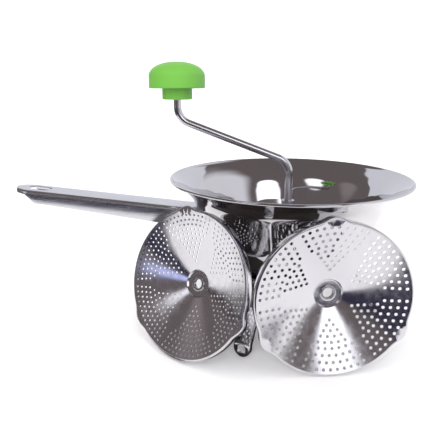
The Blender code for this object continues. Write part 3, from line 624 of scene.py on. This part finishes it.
def handle_bar(wall):
    """The handle as a solid bar, or with a wall thickness the cavity to take out of it."""
    across = Vector((0, 1, 0))
    inwards = Vector((0, 0, -1))
    half = HANDLE_WIDTH / 2 - wall
    root = -HANDLE_ROOT_RADIUS
    tip = -HANDLE_REACH + wall
    last_angle = math.radians(78)
    centre = tip + half * math.sin(last_angle)
    body_steps = 30
    tip_steps = 16
    rows = [(root + (CAVITY_START if wall else 0.0), half)]
    rows += [(blend(root, centre, k / body_steps), half) for k in range(1, body_steps + 1)]
    for k in range(1, tip_steps + 1):
        a = last_angle * k / tip_steps
        rows.append((centre - half * math.sin(a), half * math.cos(a)))
    rings = []
    for x, half_width in rows:
        along = (root - x) / (HANDLE_REACH - HANDLE_ROOT_RADIUS)
        height = RIM_HEIGHT - blend(HANDLE_ROOT_DROP, HANDLE_TIP_DROP, along)
        from_tip = x + HANDLE_REACH
        deep = blend(HANDLE_NEAR_TIP_DEPTH, HANDLE_ROOT_DEPTH, (from_tip - HANDLE_TAPER_START) / HANDLE_TAPER)
        depth = blend(HANDLE_TIP_DEPTH, deep, (from_tip - TIP_TAPER_START) / TIP_TAPER)
        depth += CAVITY_OVERCUT if wall else 0.0
        origin = Vector((x, 0, height))
        rings.append(channel_section(origin, across, inwards, half_width, wall, depth, HANDLE_SHOULDER))
    if not wall:
        rings[0] = [fit_to_bowl(point) for point in rings[0]]
    return mesh_from("handle_bar", *loft(rings, cap_ends=True))


def slot_cutter():
    """A prism with round ends for the hanging slot."""
    half = SLOT_WIDTH / 2
    near = -HANDLE_REACH + SLOT_START + half
    far = -HANDLE_REACH + SLOT_START + SLOT_LENGTH - half
    flat = arc((far, 0), half, -90, 90, 20) + arc((near, 0), half, 90, 270, 20)
    heights = (RIM_HEIGHT + SLOT_CUT[0], RIM_HEIGHT + SLOT_CUT[1])
    rings = [[Vector((x, y, z)) for x, y in flat] for z in heights]
    return mesh_from("slot_cutter", *loft(rings, cap_ends=True))


def leg_path():
    """The leg's outer line in its own vertical plane: tab on the collar, flare, upright foot."""
    tab = COLLAR_RADIUS + GAP + LEG_TAB_FLANGE
    points = [
        (tab, 0, RIM_HEIGHT - COLLAR_TOP_DEPTH + 0.001),
        (tab, 0, COLLAR_FLOOR - 0.002),
        (LEG_FOOT_RADIUS, 0, LEG_BEND_HEIGHT),
        (LEG_FOOT_RADIUS, 0, 0.0),
    ]
    return filleted(points, (LEG_BEND, LEG_BEND), 10)


def leg_bar(wall):
    """A leg as a bar that follows its path and ends in a round toe with a flat underside."""
    path = leg_path()
    across = Vector((0, 1, 0))
    half = LEG_WIDTH / 2 - wall
    extra = LEG_OVERCUT if wall else 0.0
    rings = []
    for k, point in enumerate(path[:-1]):
        before = path[max(k - 1, 0)]
        along = (path[k + 1] - before).normalized()
        drop = COLLAR_FLOOR - point.z
        depth = blend(LEG_TAB_FLANGE, LEG_FLANGE, drop / LEG_TAPER) + extra
        start = point - along * (LEG_TOP_OVERCUT if wall and k == 0 else 0.0)
        rings.append(channel_section(start, across, across.cross(along), half, wall, depth, LEG_SHOULDER))
    toe = Vector((LEG_FOOT_RADIUS, 0, wall + half * math.sin(TOE_ANGLE)))
    inwards = Vector((-1, 0, 0))
    depth = LEG_FLANGE + extra
    steps = 14
    for k in range(steps + 1):
        a = TOE_ANGLE * k / steps
        centre = toe - Vector((0, 0, half * math.sin(a)))
        rings.append(channel_section(centre, across, inwards, half * math.cos(a), wall, depth, LEG_SHOULDER))
    return mesh_from("leg_bar", *loft(rings, cap_ends=True))


def toe_hole_cutter():
    """A D-shaped prism through the toe of a leg."""
    half = TOE_HOLE_RADIUS
    corner = TOE_HOLE_CORNER
    flat = arc((0, TOE_HOLE_HEIGHT), half, 0, 180, 20)
    flat += [(-half, TOE_HOLE_FLAT + 1.2 * corner), (corner - half, TOE_HOLE_FLAT)]
    flat += [(half - corner, TOE_HOLE_FLAT), (half, TOE_HOLE_FLAT + 1.2 * corner)]
    span = (LEG_FOOT_RADIUS + TOE_CUT[0], LEG_FOOT_RADIUS + TOE_CUT[1])
    rings = [[Vector((x, y, z)) for y, z in flat] for x in span]
    return mesh_from("toe_hole", *loft(rings, cap_ends=True))


# ---------------------------------------------------------------- sieve discs
CONE_RUN = DISC_RADIUS - FOLD_RADIUS - CONE_INNER_RADIUS
CONE_SLOPE = CONE_HEIGHT / CONE_RUN


def cone_height(radius):
    """Height of the disc's underside above its fold circle."""
    return CONE_SLOPE * (DISC_RADIUS - FOLD_RADIUS - radius)


def hole_centres(rings, pitch):
    """Centres of the holes: six wedges that widen outwards until the rings of holes are full."""
    centres = []
    for radius, count in rings:
        step = min(pitch / radius, math.pi / 3 / count)
        for sector in range(6):
            middle = math.pi / 2 + sector * math.pi / 3
            for k in range(count):
                a = middle + (k - (count - 1) / 2) * step
                centres.append((radius * math.cos(a), radius * math.sin(a)))
    return centres


def disc_section():
    """Closed section of a disc, and the number of the row where the cone's underside begins."""
    edge = DISC_RADIUS
    top_out = edge - FOLD_RADIUS
    sheet = DISC_SHEET
    hub = CONE_HEIGHT + HUB_STEP
    step_radius = CONE_INNER_RADIUS - 0.0009
    fold = 0.0013
    rows = [(CONE_INNER_RADIUS, CONE_HEIGHT + sheet, 0.0), (top_out, sheet, 1.0)]
    rows += [(r, z, 1.0) for r, z in arc((edge - fold, sheet + 0.0005), fold - sheet, -90, 0, 5)]
    rows += [(r, z, 1.0) for r, z in arc((edge - sheet / 2, DISC_WALL - sheet / 2), sheet / 2, 180, 0, 6)]
    rows += [(r, z, 1.0) for r, z in arc((edge - fold, fold), fold, 0, -80, 8)]
    low = len(rows)
    rows += [(top_out, 0.0, 1.0), (CONE_INNER_RADIUS, CONE_HEIGHT, 0.0)]
    rows += [(step_radius, hub - 0.0004, 0.0), (step_radius - 0.0003, hub - 0.0001, 0.0)]
    rows += [(step_radius - 0.0012, hub, 0.0), (HUB_HOLE_RADIUS, hub, 0.0)]
    rows += [(HUB_HOLE_RADIUS, hub + sheet, 0.0)]
    rows += [(step_radius - 0.0010, hub + sheet, 0.0), (step_radius - 0.0002, hub + sheet - 0.0003, 0.0)]
    return rows, low


def outline_radius(x, y):
    """Radius of the cone's outer edge in a direction."""
    return DISC_RADIUS - FOLD_RADIUS + DISC_LOBE * lobe_height(math.atan2(y, x), math.pi / 2)


def sieve_points(ring_out, ring_in, centres, hole_radius, sides):
    """The flat sieve's points (two borders, the holes, loose points), its fixed edges and its hole loops."""
    points = [Vector((p[0], p[1])) for p in ring_out + ring_in]
    size = len(ring_out)
    edges = [(k, (k + 1) % size) for k in range(size)]
    edges += [(size + k, size + (k + 1) % size) for k in range(size)]
    loops = []
    for cx, cy in centres:
        first = len(points)
        for k in range(sides):
            a = 2 * math.pi * (k + 0.5) / sides
            points.append(Vector((cx + hole_radius * math.cos(a), cy + hole_radius * math.sin(a))))
        loops.append(list(range(first, first + sides)))
        edges += [(first + k, first + (k + 1) % sides) for k in range(sides)]
    tree = KDTree(len(centres))
    for k, (cx, cy) in enumerate(centres):
        tree.insert((cx, cy, 0), k)
    tree.balance()
    fill_rings = 18
    fill_spots = 72
    for ring in range(1, fill_rings):
        radius = CONE_INNER_RADIUS + CONE_RUN * ring / fill_rings
        for k in range(fill_spots):
            a = 2 * math.pi * (k + 0.5 * (ring % 2)) / fill_spots
            spot = Vector((radius * math.cos(a), radius * math.sin(a)))
            if tree.find((*spot, 0))[2] > hole_radius * CLEAR_OF_HOLE:
                points.append(spot)
    return points, edges, loops


def disc_mesh(name, holes, sides):
    """A coned sieve disc with round holes through its sheet."""
    rings_of_holes, pitch, hole_radius = holes
    centres = hole_centres(rings_of_holes, pitch)
    section, low = disc_section()
    rings = lobed_rings(section, math.pi / 2)
    size = len(rings[0])
    vertices, faces = loft(rings, close_path=True)
    zones = ({0, 1}, {low, low + 1})
    kept = [face for face in faces if {f // size for f in face} not in zones]
    points, edges, loops = sieve_points(rings[1], rings[0], centres, hole_radius, sides)
    found = delaunay_2d_cdt(points, edges, [], 0, 1e-8)
    triangles = []
    for face in found[2]:
        middle = sum((found[0][k] for k in face), Vector((0, 0))) / 3
        if middle.length < CONE_INNER_RADIUS and all(size <= k < 2 * size for k in face):
            continue
        if middle.length > outline_radius(middle.x, middle.y) and all(k < size for k in face):
            continue
        if same_hole(face, 2 * size, sides, len(loops)):
            continue
        triangles.append(tuple(face))
    tops = {}
    lows = {}
    for k, point in enumerate(points):
        if k < 2 * size:
            ring = 1 if k < size else 0
            tops[k] = ring * size + k % size
            lows[k] = (low + 1 - ring) * size + k % size
            continue
        height = cone_height(point.length)
        tops[k] = len(vertices)
        vertices.append((point.x, point.y, height + DISC_SHEET))
        lows[k] = len(vertices)
        vertices.append((point.x, point.y, height))
    for triangle in triangles:
        kept.append(tuple(tops[k] for k in triangle))
        kept.append(tuple(lows[k] for k in reversed(triangle)))
    for loop in loops:
        for k, this in enumerate(loop):
            after = loop[(k + 1) % len(loop)]
            kept.append((tops[this], tops[after], lows[after], lows[this]))
    mesh = mesh_from(name, vertices, kept, SIEVE_SMOOTH_DEGREES)
    cone_normals(mesh)
    return mesh


def same_hole(face, first, sides, count):
    """True where all three corners lie on one hole's edge."""
    numbers = {(k - first) // sides for k in face}
    return len(numbers) == 1 and 0 <= numbers.pop() < count


def cone_normals(mesh):
    """Give the sieve's faces the true cone's normals, so that the sheet mirrors without ripples."""
    normals = [Vector((0, 0, 0))] * len(mesh.loops)
    for face in mesh.polygons:
        middle = face.center
        radius = math.hypot(middle.x, middle.y)
        if radius < CONE_INNER_RADIUS - 0.0001 or radius > DISC_RADIUS - FOLD_RADIUS + DISC_LOBE:
            continue
        true = Vector((middle.x / radius * CONE_SLOPE, middle.y / radius * CONE_SLOPE, 1)).normalized()
        facing = face.normal.dot(true)
        if abs(facing) < SHEET_FACING:
            continue
        for loop in face.loop_indices:
            spot = mesh.vertices[mesh.loops[loop].vertex_index].co
            reach = math.hypot(spot.x, spot.y)
            normal = Vector((spot.x / reach * CONE_SLOPE, spot.y / reach * CONE_SLOPE, 1)).normalized()
            normals[loop] = normal if facing > 0 else -normal
    mesh.normals_split_custom_set(normals)


def bush_mesh():
    """The flanged eyelet that lines a disc's hub hole, in the disc's own frame."""
    hub = CONE_HEIGHT + HUB_STEP
    low = hub - GAP
    high = hub + DISC_SHEET + GAP
    shank = HUB_HOLE_RADIUS - GAP
    bore = BUSH_BORE_RADIUS
    edge = 0.0004
    rounding = BUSH_FLANGE_RADIUS - BUSH_HEAD_RADIUS
    head = high + BUSH_HEAD - edge
    profile = [(bore, low - rounding)]
    profile += arc((bore + edge, low - rounding), edge, 180, 270, 4)[1:]
    profile += arc((BUSH_HEAD_RADIUS, low - edge), rounding, 270, 360, 5)
    profile += [(BUSH_FLANGE_RADIUS, low), (shank, low), (shank, high)]
    profile += [(BUSH_HEAD_RADIUS, high), (BUSH_HEAD_RADIUS, high + edge)]
    profile += arc((BUSH_HEAD_RADIUS - edge, head), edge, 0, 90, 4)
    profile += arc((bore + edge, head), edge, 90, 180, 4)
    return turned("hub_bush", profile, 64)


def stand_matrix(x, y, turn, lean, roll, mesh):
    """Place of a spare disc that shows its hollow side and stands on the floor."""
    turn = math.radians(turn)
    lean = math.radians(lean)
    level = Vector((math.sin(turn), -math.cos(turn), 0))
    up = Vector((0, 0, 1))
    facing = level * math.cos(lean) + up * math.sin(lean)
    rise = up * math.cos(lean) - level * math.sin(lean)
    right = rise.cross(facing)
    columns = Matrix((-right, rise, -facing)).transposed()
    rotation = columns @ Matrix.Rotation(-math.radians(roll), 3, 'Z')
    lowest = min((rotation @ vertex.co).z for vertex in mesh.vertices)
    return Matrix.Translation((x, y, GAP - lowest)) @ rotation.to_4x4()


# ---------------------------------------------------------------- crank, knob and blade
def tube(name, path, radius):
    """A solid round rod along a path in the XZ plane; radius gives its radius at a height."""
    sides = 40
    rings = []
    side = Vector((0, 1, 0))
    for k, point in enumerate(path):
        along = (path[min(k + 1, len(path) - 1)] - path[max(k - 1, 0)]).normalized()
        out = side.cross(along)
        size = radius(point.z)
        ring = []
        for step in range(sides):
            a = 2 * math.pi * step / sides
            ring.append(point + side * (size * math.cos(a)) + out * (size * math.sin(a)))
        rings.append(ring)
    return mesh_from(name, *loft(rings, cap_ends=True))


def rod_mesh():
    """The bent crank rod, with its lower end threaded for the wing nut."""
    low_corner, high_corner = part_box("crank_rod")
    bottom = low_corner[2]
    thread_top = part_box("spring_washer")[0][2]
    points = [
        (0, 0, thread_top),
        (0, 0, RIM_HEIGHT + ARM_LOW),
        (-CRANK_THROW, 0, RIM_HEIGHT + ARM_HIGH),
        (-CRANK_THROW, 0, high_corner[2]),
    ]
    thread = [Vector((0, 0, bottom))]
    turns = int((thread_top - bottom) / THREAD_PITCH)
    for k in range(turns * THREAD_STEPS):
        thread.append(Vector((0, 0, bottom + THREAD_START + THREAD_PITCH * k / THREAD_STEPS)))
    path = thread + filleted(points, (BEND_RADIUS, BEND_RADIUS), 24)

    def radius(z):
        """The rod's radius, with shallow grooves over its threaded end."""
        if z > thread_top - THREAD_START:
            return ROD_RADIUS
        wave = math.cos((z - bottom - THREAD_START) / THREAD_PITCH * 2 * math.pi)
        return ROD_RADIUS - 0.00030 + 0.00025 * wave

    return tube("crank_rod", path, radius)


def neck_mesh():
    """The knob's neck, a sleeve on the rod with a spigot that goes up into the cap."""
    bore = ROD_RADIUS + GAP
    low = RIM_HEIGHT + KNOB_BOTTOM
    seam = RIM_HEIGHT + KNOB_SHOULDER
    spigot_top = seam + SPIGOT_LENGTH
    edge = 0.0010
    chamfer = 0.0006
    profile = [(bore, low + chamfer), (bore + chamfer, low)]
    profile += arc((NECK_RADIUS - edge, low + edge), edge, 270, 360, 6)
    profile += [(NECK_RADIUS, seam - GAP), (SPIGOT_RADIUS, seam - GAP)]
    profile += [(SPIGOT_RADIUS, spigot_top), (bore, spigot_top)]
    return turned("knob_neck", profile, 96)


def cap_mesh():
    """The knob's cap: a short upright side under a low, nearly elliptical dome."""
    seam = RIM_HEIGHT + KNOB_SHOULDER
    socket = SPIGOT_RADIUS + GAP
    roof = seam + SPIGOT_LENGTH + SOCKET_ABOVE_SPIGOT
    dome = KNOB_TOP - KNOB_SHOULDER - KNOB_SIDE
    edge = 0.0012
    tip = 0.0005
    squareness = 0.92
    steps = 40
    profile = [(tip, roof), (socket, roof), (socket, seam)]
    profile += arc((KNOB_RADIUS - edge, seam + edge), edge, 270, 360, 6)
    for k in range(steps):
        a = math.pi / 2 * k / steps
        profile.append((KNOB_RADIUS * math.cos(a) ** squareness, seam + KNOB_SIDE + dome * math.sin(a)))
    profile.append((tip, RIM_HEIGHT + KNOB_TOP))
    return turned("knob_cap", profile, 128, closed=False)


def blade_point(across, up):
    """A point on the blade's underside; across runs outwards and up runs from its foot to its top."""
    reach = BLADE_TIP_REACH + (BLADE_REACH - BLADE_TIP_REACH) * math.sqrt(max(0.0, 1 - up ** 2))
    radius = SLEEVE_RADIUS + WELD_GAP + (reach - SLEEVE_RADIUS - WELD_GAP) * across
    angle = BLADE_LOW_ANGLE + BLADE_SWEEP * up
    near_hub = HUB_UNDERSIDE + DISC_SHEET + GAP + BUSH_HEAD + BLADE_FOOT_LIFT
    foot = DISC_FLOOR + cone_height(max(radius, CONE_INNER_RADIUS)) + DISC_SHEET + BLADE_CLEARANCE
    foot = blend(near_hub, foot, (radius - CONE_INNER_RADIUS) / BLADE_FOOT_FADE)
    height = foot + (BLADE_TOP - foot) * up ** BLADE_BULGE
    return Vector((radius * math.cos(angle), radius * math.sin(angle), height))


def blade_mesh():
    """The half-moon press blade as a thick sheet."""
    columns = 40
    rows = 48
    vertices = []
    for side in (0, 1):
        for row in range(rows + 1):
            for column in range(columns + 1):
                share = math.sin(math.pi / 2 * row / rows)
                point = blade_point(column / columns, share)
                vertices.append(point + Vector((0, 0, BLADE_SHEET * side)))
    width = columns + 1
    layer = width * (rows + 1)
    faces = []
    for row in range(rows):
        for column in range(columns):
            k = row * width + column
            quad = (k, k + 1, k + 1 + width, k + width)
            faces.append(quad)
            faces.append(tuple(layer + q for q in reversed(quad)))
    border = list(range(width))
    border += [row * width + columns for row in range(1, rows + 1)]
    border += [rows * width + k for k in range(columns - 1, -1, -1)]
    border += [row * width for row in range(rows - 1, 0, -1)]
    for k, this in enumerate(border):
        after = border[(k + 1) % len(border)]
        faces.append((this, after, layer + after, layer + this))
    return mesh_from("blade", vertices, faces)


def spring_mesh():
    """The compression spring, with five turns between the scraper's hub and the washer."""
    low_corner, high_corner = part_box("spring")
    coil = (high_corner[0] - low_corner[0]) / 2 - SPRING_WIRE
    per_turn = 48
    sides = 12
    total = SPRING_TURNS * per_turn
    low = low_corner[2] + SPRING_WIRE
    high = high_corner[2] - SPRING_WIRE
    rings = []
    for k in range(total + 1):
        a = 2 * math.pi * k / per_turn
        out = Vector((math.cos(a), math.sin(a), 0))
        centre = out * coil + Vector((0, 0, low + (high - low) * k / total))
        ring = []
        for step in range(sides):
            b = 2 * math.pi * step / sides
            rise = Vector((0, 0, SPRING_WIRE * math.sin(b)))
            ring.append(centre + out * (SPRING_WIRE * math.cos(b)) + rise)
        rings.append(ring)
    return mesh_from("spring", *loft(rings, cap_ends=True))


# ---------------------------------------------------------------- assembly
bpy.context.scene.view_settings.view_transform = 'Standard'
make_camera()
make_world(ROOM, STUDIO)
make_floor()
make_card("card_front", (-2.5, -2.5), (0.30, -0.27), (0.025, 0.024, 0.045))
make_card("card_left", (-3.0, -0.27), (-0.45, 1.2), (0.05, 0.042, 0.045))
# Painted shade: a dark card under the bowl and behind the spare discs, which the bowl's outside mirrors in
# place of the shadow there.
make_card("painted_shade_card_under", (-0.07, -0.10), (0.13, 0.10), (0.060, 0.052, 0.048))
make_surround()
make_sun("sun_above", (0.10, 0.25, -1.0), 2.0, 80)
make_sun("sun_front", (0.25, 1.0, -0.35), 2.2, 50)

# Dark and light tint, range of roughness, depth of the sheet's unevenness, stretch and scale of the grain.
MIRROR = steel("mirror_steel", (0.60, 0.59, 0.61), (0.65, 0.64, 0.66), (0.04, 0.08), 0.0012)
SIEVE = steel("sieve_steel", (0.62, 0.61, 0.64), (0.68, 0.67, 0.70), (0.10, 0.18), 0.0006, (1, 1, 1), 180.0)
BRUSHED = (0.03, 1, 1)
SATIN = steel("satin_steel", (0.62, 0.62, 0.65), (0.68, 0.68, 0.71), (0.20, 0.28), 0.0001, BRUSHED, 420.0)
ROD = steel("rod_steel", (0.60, 0.59, 0.61), (0.66, 0.65, 0.67), (0.17, 0.21), 0.0001, (1, 1, 1), 260.0)
LEG = steel("leg_steel", (0.62, 0.61, 0.63), (0.70, 0.69, 0.71), (0.08, 0.16), 0.0006)
DARK = steel("spring_steel", (0.34, 0.34, 0.36), (0.42, 0.42, 0.44), (0.25, 0.35), 0.0001)
LIME = plastic()

place_piece("bowl_shell", bowl_mesh(), MIRROR, "mill", ["bowl"])
handle = cut_mesh("handle", handle_bar(0.0), [handle_bar(HANDLE_SHEET), slot_cutter()], 0.0003)
place_piece("handle_channel", handle, SATIN, "mill", ["handle"])
leg = cut_mesh("leg", leg_bar(0.0), [leg_bar(LEG_SHEET), toe_hole_cutter()], 0.0002)
for name, angle in LEG_ANGLES.items():
    turn = Matrix.Rotation(math.radians(angle), 4, 'Z')
    place_piece(name + "_stamping", leg.copy(), LEG, "mill", [name], turn)

bush = bush_mesh()
coarse = disc_mesh("disc_coarse", COARSE_HOLES, 16)
fitted = Matrix.Translation((0, 0, DISC_FLOOR)) @ Matrix.Rotation(math.pi / 2, 4, 'Z')
place_piece("sieve_coarse", coarse, SIEVE, "mill", ["disc_coarse"], fitted)
place_piece("eyelet_coarse", bush.copy(), ROD, "mill", ["hub_bush_coarse"], fitted)
SPARES = (("medium", MEDIUM_HOLES, 14, MEDIUM_STAND), ("fine", FINE_HOLES, 12, FINE_STAND))
for size, holes, sides, stand in SPARES:
    mesh = disc_mesh("disc_" + size, holes, sides)
    matrix = stand_matrix(*stand, mesh)
    body = "spare_" + size
    place_piece("sieve_" + size, mesh, SIEVE, body, ["disc_" + size], matrix)
    place_piece("eyelet_" + size, bush.copy(), ROD, body, ["hub_bush_" + size], matrix)

place_piece("crank_rod_bent", rod_mesh(), ROD, "crank", ["crank_rod"])
knob_place = Matrix.Translation((-CRANK_THROW, 0, 0))
place_piece("knob_neck_sleeve", neck_mesh(), LIME, "knob", ["knob_neck"], knob_place)
place_piece("knob_cap_dome", cap_mesh(), LIME, "knob", ["knob_cap"], knob_place)
place_piece("press_blade", blade_mesh(), SATIN, "crank", ["blade"])
spring = place_piece("coil_spring", spring_mesh(), DARK, "scraper", ["spring"])
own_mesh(spring)

# The CAD nodes that keep their own mesh.
CARRIED = {
    "handle_bracket": SATIN, "blade_hub": ROD, "scraper_arm": SATIN, "scraper_hub": ROD,
    "spring_washer": SATIN, "wing_nut": SATIN, "knob_push_nut": DARK,
}
for name, look in CARRIED.items():
    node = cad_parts[name]
    node.data.materials.clear()
    node.data.materials.append(look)
